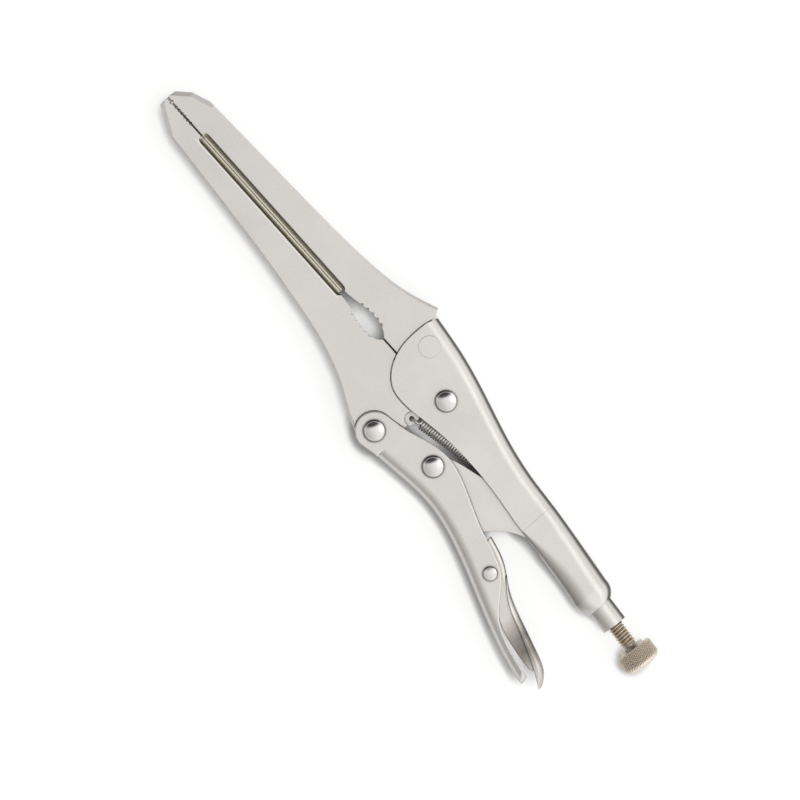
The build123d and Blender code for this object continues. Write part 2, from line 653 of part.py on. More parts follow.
def release_face():
    """Side view of the release lever."""
    boss = arc_round(RELEASE_PIN, RELEASE_BOSS, RELEASE_BOSS_START, RELEASE_BOSS_END)
    return outline(
        release_top(),
        Polyline(RELEASE_TOP[-1], RELEASE_TIP, RELEASE_UNDER, RELEASE_WALL[0]),
        Spline(*RELEASE_WALL),
        Line(RELEASE_WALL[-1], boss @ 0),
        boss,
        Polyline(boss @ 1, RELEASE_PAW, RELEASE_TOP[0]),
    )


def release_pad():
    """Broad curved pad for the fingers, with a narrow flange down each side."""
    top = release_top()
    low = PAD_EDGE[-1][1] - 3 * PAD_BEND
    high = PAD_EDGE[0][1] + 3 * PAD_BEND
    under = Polyline(top @ 1, ((top @ 1).X, low, 0), ((top @ 0).X, low, 0), top @ 0)
    block = slab(outline(top, under), PAD_WIDTH)
    block = fillet(side_edges(block, [top], PAD_WIDTH), PAD_BEND)
    front, rear = PAD_EDGE[0], PAD_EDGE[-1]
    over = Polyline(rear, (rear[0], high), (front[0], high), front)
    return block & slab(outline(Spline(*PAD_EDGE), over), 2 * PAD_WIDTH)


def release_lever():
    """Pressed trigger inside the lever: a broad pad with side walls that run to its pivot."""
    body = slab(release_face(), RELEASE_WIDTH)
    body = fillet(side_edges(body, [release_top()], RELEASE_WIDTH), RELEASE_BEND)
    body += release_pad()
    inner = Spline(*moved_right(RELEASE_TOP, RELEASE_SHEET))
    start = inner @ 0
    end = inner @ 1
    below = end.Y - 4 * RELEASE_WIDTH
    front = start.X - RELEASE_WIDTH
    hollow = outline(inner, Polyline(end, (end.X, below, 0), (front, below, 0), (front, start.Y, 0), start))
    body -= slab(hollow, RELEASE_WIDTH - 2 * RELEASE_SHEET)
    return body - Pos(*RELEASE_PIN) * Cylinder(SMALL_PIN_RADIUS + RUNNING_FIT, 2 * RELEASE_WIDTH)


def dome_arc(radius, base, rise):
    """Half section of a spherical dome, from its top on the axis down to its rim."""
    sphere = (radius ** 2 + rise ** 2) / (2 * rise)
    shoulder = base + math.sqrt(sphere ** 2 - radius ** 2 / 4) - (sphere - rise)
    return ThreePointArc((0, base + rise), (radius / 2, shoulder), (radius, base))


def domed_rivet(pin, radius, head_radius, head_height):
    """Rivet through both side plates, with a low dome and a round shoulder on each side."""
    half = HANDLE_WIDTH / 2
    rim = half + HEAD_RIM
    shoulder = HEAD_SHOULDER * head_radius
    crown = rim + shoulder
    bend = shoulder * (1 - math.sqrt(0.5))
    inner = head_radius - shoulder
    profile = outline(
        Line((0, 0), (0, half + head_height)),
        dome_arc(inner, crown, half + head_height - crown),
        ThreePointArc((inner, crown), (head_radius - bend, crown - bend), (head_radius, rim)),
        Polyline((head_radius, rim), (head_radius, half), (radius, half), (radius, 0), (0, 0)),
    )
    upper = revolve(Plane.XZ * profile, Axis.Z)
    return Pos(*pin) * (upper + mirror(upper, Plane.XY))


def fixed_jaw_rivet():
    """Plain rivet that is ground nearly flush with the side plates."""
    pin = Cylinder(TANG_PIN_RADIUS, HANDLE_WIDTH + 2 * TANG_PIN_PROUD)
    return Pos(*TANG_PIN) * chamfer(pin.edges().filter_by(GeomType.CIRCLE), TANG_PIN_PROUD)


def thread_ridge(turns):
    """Ridge of the screw's thread on the Z axis, a number of turns long."""
    root = THREAD_RADIUS - THREAD_DEPTH
    helix = Helix(pitch=THREAD_PITCH, height=turns * THREAD_PITCH, radius=root)
    foot = THREAD_PITCH * (1 - THREAD_ROOT_SHARE) / 2
    crest = THREAD_PITCH * THREAD_CREST_SHARE / 2
    sunk = -THREAD_DEPTH / 3
    profile = Polyline((sunk, -foot), (0, -foot), (THREAD_DEPTH, -crest), (THREAD_DEPTH, crest), (0, foot),
                       (sunk, foot), close=True)
    section = Plane(origin=helix @ 0, x_dir=(1, 0, 0), z_dir=helix % 0) * make_face(profile)
    return sweep(section, path=helix, is_frenet=True)


def adjusting_screw():
    """Threaded rod with a plain point and a spigot for the knob."""
    root = THREAD_RADIUS - THREAD_DEPTH
    length = KNOB_START - SCREW_TIP
    point = STOP_RING_INSET + STOP_RING_LENGTH + THREAD_PITCH
    screw = Pos(0, 0, length / 2) * Cylinder(root, length)
    tip = Pos(0, 0, point / 2) * Cylinder(THREAD_RADIUS, point)
    screw += chamfer(tip.edges().filter_by(GeomType.CIRCLE).sort_by(Axis.Z)[0], SCREW_TIP_CHAMFER)
    turns = int((length - point) / THREAD_PITCH) - 1
    for first in range(0, turns, THREAD_STRETCH):
        stretch = min(THREAD_STRETCH, turns - first)
        screw += Pos(0, 0, point + THREAD_PITCH * (THREAD_RUN_IN + first)) * thread_ridge(stretch)
    screw += Pos(0, 0, length + KNOB_SPIGOT / 2) * Cylinder(KNOB_SPIGOT_RADIUS, KNOB_SPIGOT)
    return screw_plane(SCREW_TIP).location * screw


def adjusting_knob():
    """Knurled knob with a domed end and a small collar."""
    rim = KNOB_LENGTH - KNOB_DOME
    shoulder = KNOB_RADIUS - KNOB_CHAMFER
    profile = outline(
        Line((0, 0), (0, KNOB_LENGTH)),
        dome_arc(shoulder, rim, KNOB_DOME),
        Polyline((shoulder, rim), (KNOB_RADIUS, rim - KNOB_CHAMFER),
                 (KNOB_RADIUS, KNOB_COLLAR + KNOB_CHAMFER), (shoulder, KNOB_COLLAR),
                 (KNOB_COLLAR_RADIUS, KNOB_COLLAR), (KNOB_COLLAR_RADIUS, 0), (0, 0)),
    )
    knob = revolve(Plane.XZ * profile, Axis.Z) & extrude(knurl_face(), amount=2 * KNOB_LENGTH)
    knob -= Cylinder(KNOB_SPIGOT_RADIUS, 2 * KNOB_SPIGOT)
    return screw_plane(KNOB_START).location * knob


def knurl_face():
    """Section of the knob with a ridge for every knurl."""
    points = []
    for index in range(2 * KNURLS):
        radius = KNOB_RADIUS if index % 2 else KNOB_RADIUS - KNURL_DEPTH
        points.append(polar((0, 0), radius, 180 * index / KNURLS))
    return make_face(Polyline(*points, close=True))


def screw_stop_ring():
    """Ring near the screw's inner end that stops it at the neck."""
    start = SCREW_TIP + STOP_RING_INSET
    ring = rod(STOP_RING_RADIUS, start, start + STOP_RING_LENGTH)
    return ring - rod(THREAD_RADIUS + RUNNING_FIT, start - OVERRUN, start + STOP_RING_LENGTH + OVERRUN)


def biarc(start, start_way, end, end_way):
    """Two arcs that leave one point and reach another along given directions."""
    chord = end - start
    ways = start_way + end_way
    square = 2 * (1 - start_way.dot(end_way))
    linear = chord.dot(ways)
    reach = (-linear + math.sqrt(linear ** 2 + square * chord.dot(chord))) / square
    first = start + start_way * reach
    second = end - end_way * reach
    joint = (first + second) / 2
    arcs = []
    for near, knee, far in ((start, first, joint), (joint, second, end)):
        middle = (near + far) / 2
        rise = knee - middle
        half_chord = (far - near).length / 2
        bulge = half_chord * math.tan(math.atan2(rise.length, half_chord) / 2)
        arcs.append(ThreePointArc(near, middle + rise.normalized() * bulge, far))
    return arcs


def spring_path():
    """Middle line of the spring in its own frame: hook, coil and hook."""
    coil_start = HOOK_LENGTH
    half_turns = round(2 * COIL_TURNS)

    def on_coil(half_turn):
        """Point and direction of the wire after a number of half turns."""
        angle = math.pi * half_turn
        x = coil_start + COIL_PITCH * half_turn / 2
        point = Vector(x, HOOK_BEND + COIL_RADIUS * math.sin(angle), COIL_RADIUS * math.cos(angle))
        rise = COIL_PITCH / (2 * math.pi)
        way = Vector(rise, COIL_RADIUS * math.cos(angle), -COIL_RADIUS * math.sin(angle))
        return point, way.normalized()

    forward = Vector(1, 0, 0)
    front_leg = Vector(coil_start - HOOK_BEND, 0, COIL_RADIUS)
    rear_leg = Vector(on_coil(half_turns)[0].X + HOOK_BEND, 0, COIL_RADIUS * (-1) ** half_turns)
    edges = hook_edges(front_leg, -1)
    edges += biarc(front_leg, forward, *on_coil(0))
    for half_turn in range(half_turns):
        edges += biarc(*on_coil(half_turn), *on_coil(half_turn + 1))
    edges += biarc(*on_coil(half_turns), rear_leg, forward)
    return edges + hook_edges(rear_leg, 1)


def hook_edges(leg, side):
    """Open hook beyond a leg: side is -1 before the coil and 1 after it."""
    loop_x = leg.X + side * HOOK_REACH
    top = Vector(loop_x, leg.Y, leg.Z)
    low = Vector(loop_x, leg.Y, -leg.Z)
    far = Vector(loop_x + side * abs(leg.Z), leg.Y, 0)
    tail = Vector(loop_x - side * HOOK_TAIL, leg.Y, -leg.Z)
    if side < 0:
        return [Line(tail, low), ThreePointArc(low, far, top), Line(top, leg)]
    return [Line(leg, top), ThreePointArc(top, far, low), Line(low, tail)]


def spring_self_gap(edges):
    """Least gap between stretches of the wire that are over half a coil apart along it."""
    points = []
    places = []
    travelled = 0.0
    for edge in edges:
        for step in range(WIRE_SAMPLES):
            points.append(edge @ (step / WIRE_SAMPLES))
            places.append(travelled + edge.length * step / WIRE_SAMPLES)
        travelled += edge.length
    apart = math.pi * COIL_RADIUS
    least = math.inf
    for index, point in enumerate(points):
        for other in range(index + 1, len(points)):
            if places[other] - places[index] > apart:
                least = min(least, (points[other] - point).length)
    return least - WIRE


def jaw_spring():
    """Extension spring: one wire with an open hook at each end."""
    edges = spring_path()
    print(f"spring: least gap to itself {spring_self_gap(edges):.2f} mm")
    start = edges[0]
    section = Plane(origin=start @ 0, z_dir=start % 0) * Circle(WIRE / 2)
    wire = sweep(section, path=Wire(edges))
    return spring_frame().location * wire


def build_parts():
    """Every piece by its name, in the modelling frame."""
    handle_cut = handle_cover()
    lever_cut = lever_cover()
    cutters = jaw_cutters()
    head = (PIN_RADIUS, PIN_HEAD_RADIUS, PIN_HEAD_HEIGHT)
    return {
        "main_handle": main_handle(),
        "fixed_jaw": fixed_jaw(handle_cut, cutters),
        "moving_jaw": moving_jaw(handle_cut, lever_cut, cutters),
        "lever_handle": lever_handle(),
        "toggle_link": toggle_link(),
        "release_lever": release_lever(),
        "adjusting_screw": adjusting_screw(),
        "adjusting_knob": adjusting_knob(),
        "screw_stop_ring": screw_stop_ring(),
        "jaw_spring": jaw_spring(),
        "jaw_pivot_rivet": domed_rivet(JAW_PIN, *head),
        "lever_rivet": domed_rivet(LUG_PIN, *head),
        "link_rivet": domed_rivet(LINK_PIN, *head),
        "release_rivet": domed_rivet(RELEASE_PIN, SMALL_PIN_RADIUS, SMALL_HEAD_RADIUS, SMALL_HEAD_HEIGHT),
        "fixed_jaw_rivet": fixed_jaw_rivet(),
    }


def lying_place(parts):
    """Move that centres the tool's box over the origin and lays it on z = 0."""
    boxes = [shape.bounding_box() for shape in parts.values()]
    low = [min(tuple(box.min)[axis] for box in boxes) for axis in range(3)]
    high = [max(tuple(box.max)[axis] for box in boxes) for axis in range(3)]
    return Pos(-(low[0] + high[0]) / 2, -(low[1] + high[1]) / 2, -low[2])


def main():
    """Lay the tool on its side with its box centred on the origin, and write every piece."""
    parts = build_parts()
    lay = lying_place(parts)
    os.makedirs("parts", exist_ok=True)
    for name, shape in parts.items():
        export_step(lay * shape, f"parts/{name}.step")


if __name__ == "__main__":
    main()
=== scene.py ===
import bpy
import json
import math
from mathutils import Matrix, Vector


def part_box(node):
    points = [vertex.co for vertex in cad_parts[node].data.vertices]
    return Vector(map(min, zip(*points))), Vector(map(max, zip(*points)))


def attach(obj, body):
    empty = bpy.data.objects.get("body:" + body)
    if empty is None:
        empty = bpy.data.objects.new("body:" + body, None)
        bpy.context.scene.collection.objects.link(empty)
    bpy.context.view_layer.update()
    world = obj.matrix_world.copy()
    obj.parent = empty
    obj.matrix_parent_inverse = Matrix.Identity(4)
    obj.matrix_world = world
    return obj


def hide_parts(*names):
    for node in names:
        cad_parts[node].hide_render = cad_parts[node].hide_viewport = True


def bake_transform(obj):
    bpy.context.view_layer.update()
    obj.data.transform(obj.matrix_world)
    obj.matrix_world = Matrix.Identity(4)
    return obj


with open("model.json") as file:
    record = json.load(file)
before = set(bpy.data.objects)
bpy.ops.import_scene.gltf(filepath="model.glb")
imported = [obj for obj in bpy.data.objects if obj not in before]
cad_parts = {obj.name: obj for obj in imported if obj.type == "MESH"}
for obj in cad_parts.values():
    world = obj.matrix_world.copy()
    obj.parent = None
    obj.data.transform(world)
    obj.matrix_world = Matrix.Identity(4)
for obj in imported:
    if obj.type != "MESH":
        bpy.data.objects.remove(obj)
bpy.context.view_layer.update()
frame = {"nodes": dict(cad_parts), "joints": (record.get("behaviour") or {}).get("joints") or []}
MM = 0.001

# Places, in millimetres from the jaw pivot, which is the middle of its rivet
low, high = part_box("jaw_pivot_rivet")
PIVOT = (low + high) / 2
PARTING_Y = -1.9
GROOVE_FRONT = (-137.5, -136.0)
GROOVE_REAR = (-56.5, -55.5)
SPRING_EYE = (-3.7, -14.1)
SPRING_SLOPE = math.radians(12.5)
PICTURE_MIDDLE = (-11.9, -12.65)

# The screw's own axis, from its joint, with the knob's distance along it from the neck's middle
SCREW_JOINT = next(joint for joint in frame["joints"] if joint["name"] == "screw_travel")
NECK_MIDDLE = Vector(SCREW_JOINT["pos_m"])
SCREW_AXIS = Vector(SCREW_JOINT["axis"])
KNOB_START = 14.5

# Colours of wear, painted highlight, painted shade and other marks
# Pale colour of worn edges, also a painted highlight on convex edges and on the groove's edge
WORN_AND_HIGHLIGHT = (0.95, 0.94, 0.92)
# Dark brown of the painted shade in corners and gaps, also used for the dark parting seam
PAINTED_SHADE_AND_SEAM = (0.045, 0.038, 0.030)
# Dark colour of the painted shade on bends and side walls
PAINTED_BEND_SHADE = (0.07, 0.066, 0.055)
# Colours painted in the groove between the jaws: a painted light strip, a painted shadow and a painted shade
GROOVE_PAINTED_LIGHT = (0.80, 0.75, 0.62)
GROOVE_PAINTED_SHADOW = (0.075, 0.064, 0.042)
GROOVE_PAINTED_SHADE = (0.10, 0.09, 0.078)
PAD_BROWN = (0.11, 0.092, 0.072)
# Dark colour for the bottom of the thread
THREAD_ROOT_DARK = (0.08, 0.065, 0.05)

# Grain of the steel, in features per metre, and the reach of the painted shade into corners, in millimetres
FINE_GRAIN = 1500.0
BROAD_GRAIN = 55.0
PAD_GRAIN = 140.0
SCRATCH_GRAIN = (90.0, 3400.0, 3400.0)
CREVICE_REACH = 1.1

# Side of the tool that the handle's spine faces
SPINE_SIDE = (0.0, 1.0, 0.0)


def place(x, y):
    """Point in the frame from millimetres measured from the jaw pivot."""
    return PIVOT + Vector((x, y, 0.0)) * MM


# Shader nodes

def node(tree, kind, **settings):
    """New shader node with its plain settings."""
    made = tree.nodes.new(kind)
    for key, value in settings.items():
        setattr(made, key, value)
    return made


def feed(tree, socket, value):
    """Link an output to a socket, or set a plain value on it."""
    if isinstance(value, bpy.types.NodeSocket):
        tree.links.new(value, socket)
    else:
        socket.default_value = value


def math_node(tree, operation, *values):
    """Arithmetic on outputs or numbers."""
    made = node(tree, "ShaderNodeMath", operation=operation)
    for socket, value in zip(made.inputs, values):
        feed(tree, socket, value)
    return made.outputs[0]


def vector_node(tree, operation, *values):
    """Arithmetic on outputs or vectors, which gives a vector or a number."""
    made = node(tree, "ShaderNodeVectorMath", operation=operation)
    for socket, value in zip(made.inputs, values):
        feed(tree, socket, value)
    return made.outputs["Value" if operation in ("DOT_PRODUCT", "LENGTH") else "Vector"]


def product(tree, *shares):
    """Shares multiplied together."""
    total = shares[0]
    for share in shares[1:]:
        total = math_node(tree, "MULTIPLY", total, share)
    return total


def noise(tree, vector, scale, detail=3.0, rough=0.55):
    """Noise of a scale in features per metre."""
    made = node(tree, "ShaderNodeTexNoise")
    made.inputs["Scale"].default_value = scale
    made.inputs["Detail"].default_value = detail
    made.inputs["Roughness"].default_value = rough
    tree.links.new(vector, made.inputs["Vector"])
    return made.outputs["Fac"]


def spread(tree, value, low_in, high_in, low_out, high_out):
    """Value mapped from one range to another and held to it."""
    made = node(tree, "ShaderNodeMapRange")
    for socket, given in zip(made.inputs, (value, low_in, high_in, low_out, high_out)):
        feed(tree, socket, given)
    return made.outputs[0]


def band(tree, value, start, full, fade, end, strength=1.0, rest=0.0):
    """Share that grows to a strength between two places and falls to a rest between two, in millimetres."""
    return product(tree, spread(tree, value, start * MM, full * MM, 0.0, strength),
                   spread(tree, value, fade * MM, end * MM, 1.0, rest))


def mixed(tree, share, first, second):
    """Two colours mixed by a share."""
    made = node(tree, "ShaderNodeMix", data_type="RGBA")
    feed(tree, made.inputs[0], share)
    for socket, colour in ((made.inputs[6], first), (made.inputs[7], second)):
        feed(tree, socket, colour + (1.0,) if isinstance(colour, tuple) else colour)
    return made.outputs[2]


def stretched(tree, vector, scale):
    """Coordinates stretched along the axes."""
    made = node(tree, "ShaderNodeMapping")
    made.inputs["Scale"].default_value = scale
    tree.links.new(vector, made.inputs["Vector"])
    return made.outputs["Vector"]


def measured(tree, here, origin):
    """Distances along the three axes from a place."""
    split = node(tree, "ShaderNodeSeparateXYZ")
    tree.links.new(vector_node(tree, "SUBTRACT", here, origin), split.inputs[0])
    return split.outputs


def facing(tree, direction):
    """How far a surface faces a direction, from -1 to 1."""
    return vector_node(tree, "DOT_PRODUCT", node(tree, "ShaderNodeNewGeometry").outputs["Normal"], direction)


def upright(tree):
    """Share that a surface faces straight up or down, from 0 on a side wall to 1 on a flat."""
    return math_node(tree, "ABSOLUTE", facing(tree, (0.0, 0.0, 1.0)))


def occlusion(tree, reach, samples):
    """Node that tells how open a place is within a reach in millimetres."""
    made = node(tree, "ShaderNodeAmbientOcclusion", samples=samples)
    made.inputs["Distance"].default_value = reach * MM
    return made


# Materials

def mottled(tree, here, fine, colour, mottle):
    """Colour that varies finely by a mottle and broadly a little."""
    broad = noise(tree, here, BROAD_GRAIN, 2.0)
    tone = math_node(tree, "ADD", spread(tree, fine, 0.3, 0.7, -mottle, mottle),
                     spread(tree, broad, 0.3, 0.7, -0.03, 0.03))
    return mixed(tree, spread(tree, tone, -0.5, 0.5, 0.0, 1.0), tuple(channel * 0.5 for channel in colour),
                 tuple(channel * 1.5 for channel in colour))


def bend_shade_share(tree, side, lee, wall):
    """Share of painted shade on bends and side walls, by which way the surface faces."""
    return product(tree, spread(tree, upright(tree), *side, 0.0),
                   spread(tree, facing(tree, SPINE_SIDE), -0.3, 0.3, lee, 1.0),
                   spread(tree, upright(tree), 0.08, 0.32, wall, 1.0))


def worn_and_highlit_edge(tree, rounded):
    """Share of a convex edge that is worn bright and given a painted highlight."""
    return spread(tree, facing(tree, rounded), 0.995, 0.82, 0.0, 1.0)


def painted_corner_shade(tree):
    """Share of painted shade in a narrow corner or gap, from an occlusion node."""
    return spread(tree, occlusion(tree, CREVICE_REACH, 8).outputs["AO"], 0.88, 0.40, 0.0, 1.0)


def steel(name, colour, roughness, mottle=0.05, grain=0.02, edge=0.3, edge_gain=0.35, side=(0.1, 0.72, 0.45),
          lee=1.0, wall=1.0, corner_shade=0.8, metal=1.0, shading_and_marks=None):
    """Plated steel: fine mottling, faint scratches, edges bright with wear and a painted highlight, painted
    shade on bends and side walls, and painted shade in corners.

    The edge is the radius of the worn and highlighted edges, in millimetres.
    The side is two shares of facing up, fully shaded and not shaded at all, and the strength of the painted
    shade.
    The lee is the part of that strength on walls that face away from the handle's spine.
    The wall is the part of it on flat upright walls, beside the bends.
    """
    made = bpy.data.materials.new(name)
    made.use_nodes = True
    tree = made.node_tree
    shader = tree.nodes["Principled BSDF"]
    here = node(tree, "ShaderNodeTexCoord").outputs["Object"]
    fine = noise(tree, here, FINE_GRAIN, 4.0, 0.65)
    lines = noise(tree, stretched(tree, here, SCRATCH_GRAIN), 1.0, 2.0, 0.6)
    scratch = spread(tree, lines, 0.66, 0.74, 0.0, 1.0)
    bevel = node(tree, "ShaderNodeBevel", samples=6)
    bevel.inputs["Radius"].default_value = edge * MM
    rounded = bevel.outputs[0]
    shade = mottled(tree, here, fine, colour, mottle)
    # Painted shade on bends and side walls, stronger where they face the handle's spine side
    shade = mixed(tree, bend_shade_share(tree, side, lee, wall), shade, PAINTED_BEND_SHADE)
    # Convex edges lightened: wear and a painted highlight
    shade = mixed(tree, product(tree, worn_and_highlit_edge(tree, rounded), edge_gain), shade, WORN_AND_HIGHLIGHT)
    # Extra colouring for some materials: painted light and shade in the groove, and darker marks on the
    # release pad and the thread
    if shading_and_marks:
        shade = shading_and_marks(tree, here, shade)
    # Painted shade: corners and gaps darkened where an occlusion node finds them closed in
    shade = mixed(tree, product(tree, painted_corner_shade(tree), corner_shade), shade, PAINTED_SHADE_AND_SEAM)
    gloss = math_node(tree, "ADD", spread(tree, fine, 0.3, 0.7, roughness - 0.05, roughness + 0.05),
                      product(tree, scratch, -0.08))
    bump = node(tree, "ShaderNodeBump")
    bump.inputs["Strength"].default_value = grain
    bump.inputs["Distance"].default_value = 0.05 * MM
    tree.links.new(math_node(tree, "ADD", fine, product(tree, scratch, -0.6)), bump.inputs["Height"])
    tree.links.new(rounded, bump.inputs["Normal"])
    shader.inputs["Metallic"].default_value = metal
    tree.links.new(shade, shader.inputs["Base Color"])
    tree.links.new(gloss, shader.inputs["Roughness"])
    tree.links.new(bump.outputs[0], shader.inputs["Normal"])
    return made


def groove_light_and_shade(tree, here, shade):
    """Painted light and shade in the groove: a painted light strip on its floor, a painted shadow on the
    moving jaw's side with a painted highlight at its edge, painted shade on the fixed jaw's side, and a dark
    parting line.
    """
    along, rise, height = measured(tree, here, place(0.0, PARTING_Y))
    away = math_node(tree, "ABSOLUTE", rise)
    depth = math_node(tree, "ABSOLUTE", height)
    inside = spread(tree, depth, 4.66 * MM, 4.45 * MM, 0.0, 1.0)
    groove = band(tree, along, *GROOVE_FRONT, *GROOVE_REAR)
    # Painted light strip on the groove's floor, painted shadow and painted shade on its two sides, painted
    # highlight on the moving jaw's edge
    strip = product(tree, inside, groove, spread(tree, away, 2.4 * MM, 2.6 * MM, 0.8, 0.0))
    far_side = product(tree, inside, band(tree, rise, -2.6, -2.3, -1.5, -0.9, 0.94))
    near_side = product(tree, inside, band(tree, rise, 2.5, 2.2, 1.7, 1.1, 0.72))
    groove_edge_highlight = product(tree, groove, band(tree, rise, -2.85, -2.65, -2.45, -2.3, 0.7))
    crack = product(tree, inside, spread(tree, away, 0.45 * MM, 0.6 * MM, 0.92, 0.0),
                    spread(tree, depth, 4.0 * MM, 4.2 * MM, 0.0, 1.0))
    for share, colour in ((strip, GROOVE_PAINTED_LIGHT), (far_side, GROOVE_PAINTED_SHADOW), (near_side, GROOVE_PAINTED_SHADE),
                          (groove_edge_highlight, WORN_AND_HIGHLIGHT), (crack, PAINTED_SHADE_AND_SEAM)):
        shade = mixed(tree, share, shade, colour)
    return shade


def pad_brown_patch(tree, here, shade):
    """Brown patch, broken up by noise, on the pad of the release lever."""
    along = measured(tree, here, PIVOT)[0]
    patch = product(tree, band(tree, along, 76.0, 85.0, 90.0, 99.0, 0.86, 0.25),
                    spread(tree, noise(tree, here, PAD_GRAIN), 0.3, 0.6, 0.7, 1.0))
    return mixed(tree, patch, shade, PAD_BROWN)


def thread_root_darkening(tree, here, shade):
    """Darker at the bottom of the thread, by distance from the screw's axis."""
    offset = vector_node(tree, "SUBTRACT", here, NECK_MIDDLE)
    reach = vector_node(tree, "LENGTH", vector_node(tree, "CROSS_PRODUCT", offset, SCREW_AXIS))
    return mixed(tree, spread(tree, reach, 2.8 * MM, 2.5 * MM, 0.0, 0.6), shade, THREAD_ROOT_DARK)


# The jaws carry the painted light and shade of the groove
JAW = steel("jaw_satin_plate", (0.71, 0.69, 0.67), 0.40, corner_shade=0.55, shading_and_marks=groove_light_and_shade)
# The handle's bends get a strong painted shade, weaker on walls facing away from the spine and on flat walls
HANDLE = steel("handle_satin_plate", (0.72, 0.705, 0.685), 0.42, edge=0.12, side=(0.55, 0.76, 0.95), lee=0.3,
               wall=0.3, corner_shade=0.5)
# The lever and the release lever get a strong painted highlight on their edges
LEVER = steel("lever_satin_plate", (0.71, 0.695, 0.675), 0.42, edge=0.9, edge_gain=0.75,
              side=(0.1, 0.65, 0.6))
LINK = steel("link_plate", (0.71, 0.692, 0.67), 0.40, edge=0.4)
RELEASE = steel("release_plate", (0.66, 0.635, 0.605), 0.32, edge=0.6, edge_gain=0.9, side=(0.1, 0.72, 0.6),
                corner_shade=0.25, shading_and_marks=pad_brown_patch)
# Rivet heads get a painted dark ring on their rims
RIVET = steel("rivet_polish", (0.66, 0.645, 0.635), 0.10, mottle=0.02, grain=0.006, edge=0.12, edge_gain=0.0,
              side=(0.55, 0.90, 0.9))
SCREW = steel("screw_steel", (0.88, 0.77, 0.62), 0.34, mottle=0.10, edge=0.08, side=(0.1, 0.72, 0.3),
              corner_shade=0.4, shading_and_marks=thread_root_darkening)
KNOB = steel("knob_steel", (0.90, 0.80, 0.68), 0.38, mottle=0.16, edge=0.12, side=(0.1, 0.72, 0.3),
             corner_shade=0.45)
SPRING = steel("spring_wire", (0.86, 0.85, 0.82), 0.35, mottle=0.06, edge=0.05, edge_gain=0.0,
               side=(0.0, 0.3, 0.2), corner_shade=0.0, metal=0.6)

FINISHES = {
    "fixed_jaw": JAW, "moving_jaw": JAW, "main_handle": HANDLE, "lever_handle": LEVER, "toggle_link": LINK,
    "release_lever": RELEASE, "jaw_pivot_rivet": RIVET, "lever_rivet": RIVET, "link_rivet": RIVET,
    "release_rivet": RIVET, "fixed_jaw_rivet": HANDLE, "adjusting_screw": SCREW, "screw_stop_ring": SCREW,
    "adjusting_knob": KNOB, "jaw_spring": SPRING,
}
for name, finish in FINISHES.items():
    part = frame["nodes"][name]
    part.data.materials.clear()
    part.data.materials.append(finish)


# Pieces

def mesh_piece(name, points, faces, finish, body):
    """Mesh object that rides on a body."""
    mesh = bpy.data.meshes.new(name)
    mesh.from_pydata(points, [], faces)
    mesh.update()
    for face in mesh.polygons:
        face.use_smooth = True
    piece = bpy.data.objects.new(name, mesh)
    bpy.context.scene.collection.objects.link(piece)
    mesh.materials.append(finish)
    if body:
        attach(piece, body)
    return piece


def skin(rings, sides):
    """Faces between rings of points, with a cap at each end."""
    faces = []
    for ring in range(rings - 1):
        here, above = ring * sides, (ring + 1) * sides
        for side in range(sides):
            after = (side + 1) % sides
            faces.append((here + side, here + after, above + after, above + side))
    last = (rings - 1) * sides
    faces.append(tuple(range(sides - 1, -1, -1)))
    faces.append(tuple(range(last, last + sides)))
    return faces


def lathe(rows, sides, turn):
    """Points and faces of a turned form: each row is a height and a radius for every side."""
    points = [turn @ Vector((radius * math.cos(2 * math.pi * side / sides),
                             radius * math.sin(2 * math.pi * side / sides), height))
              for height, radii in rows for side, radius in enumerate(radii)]
    return points, skin(len(rows), sides)


def screw_place(distance):
    """Matrix that stands a turned form on the screw's axis, in millimetres from the neck's middle."""
    turn = SCREW_AXIS.to_track_quat("Z", "Y").to_matrix().to_4x4()
    return Matrix.Translation(NECK_MIDDLE + SCREW_AXIS * distance * MM) @ turn


def knurled_knob():
    """Round knob with crossed diamond knurling between two chamfers and a domed end."""
    ridges, lead, depth = 28, 11.0, 0.62
    start, end, radius, rounding = 1.2, 7.9, 7.5, 0.9
    collar, collar_end, face_start = 4.8, 1.15, 5.2
    dome, dome_radius = 1.55, 6.6
    sides, steps, dome_steps = 336, 64, 15
    rows = [(0.0, [collar] * sides), (collar_end, [collar] * sides), (start, [face_start] * sides)]
    for step in range(steps + 1):
        height = start + (end - start) * step / steps
        edge = min(height - start, end - height)
        barrel = radius - rounding * max(0.0, 1.0 - edge / rounding) ** 1.5
        ring = []
        for side in range(sides):
            turn = ridges * side / sides
            first = abs((turn + height * ridges / (2 * lead)) % 1.0 - 0.5) * 2
            second = abs((turn - height * ridges / (2 * lead)) % 1.0 - 0.5) * 2
            crest = min(1.0, min(first, second) * 1.7)
            ring.append(barrel - depth * (1.0 - crest) * min(1.0, edge / 0.5 + 0.15))
        rows.append((height, ring))
    for step in range(1, dome_steps):
        turn = math.pi / 2 * step / dome_steps
        rows.append((end + dome * math.sin(turn), [dome_radius * math.cos(turn) + 0.02] * sides))
    scaled = [(height * MM, [value * MM for value in ring]) for height, ring in rows]
    points, faces = lathe(scaled, sides, screw_place(KNOB_START))
    piece = mesh_piece("knob_knurled", points, faces, KNOB, "screw")
    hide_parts("adjusting_knob")


def tube(path, radius, sides=12):
    """Points and faces of a round wire along a path."""
    points = []
    across = None
    for index, centre in enumerate(path):
        along = (path[min(index + 1, len(path) - 1)] - path[max(index - 1, 0)]).normalized()
        if across is None:
            across = along.orthogonal().normalized()
        across = (across - along * across.dot(along)).normalized()
        up = along.cross(across)
        for side in range(sides):
            angle = 2 * math.pi * side / sides
            points.append(centre + (across * math.cos(angle) + up * math.sin(angle)) * radius)
    return points, skin(len(path), sides)


